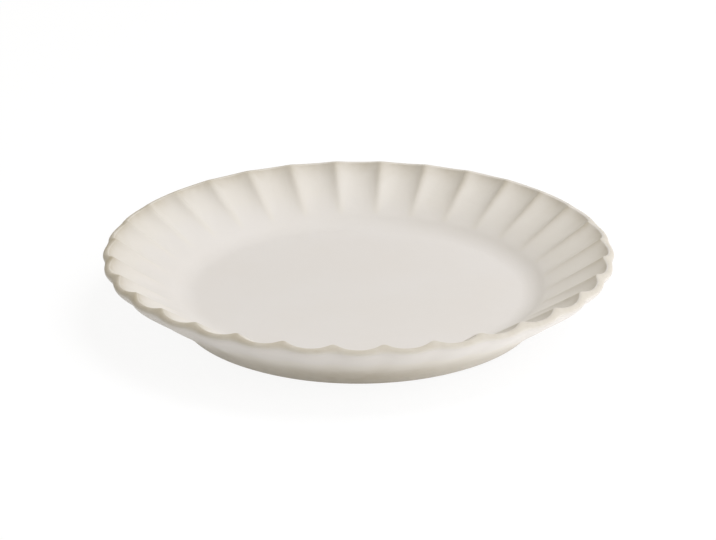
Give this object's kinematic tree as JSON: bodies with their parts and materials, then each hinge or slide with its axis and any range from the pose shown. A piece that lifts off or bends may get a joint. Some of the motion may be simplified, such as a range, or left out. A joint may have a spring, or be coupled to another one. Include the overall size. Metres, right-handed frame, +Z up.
{
  "type": "dessert plate",
  "caption": "Round stoneware dessert plate with a flat well, a fluted flaring wall, a scalloped rim and a bare foot ring, in satin cream glaze.",
  "frame": {"origin": "centre of the foot ring, on the surface that the plate stands on", "axes": "+Z up along the plate's axis, -Y towards the front, where the middle of a flute faces the viewer"},
  "size_m": [0.21, 0.21, 0.0292],
  "materials": {
    "clay": "bare fired stoneware, matte",
    "glaze": "satin cream glaze, thinner and tan on the edges of the rim"
  },
  "bodies": {
    "root": {"stoneware_body": "clay", "glaze_coat": "glaze", "underside_glaze": "glaze"}
  },
  "joints": []
}
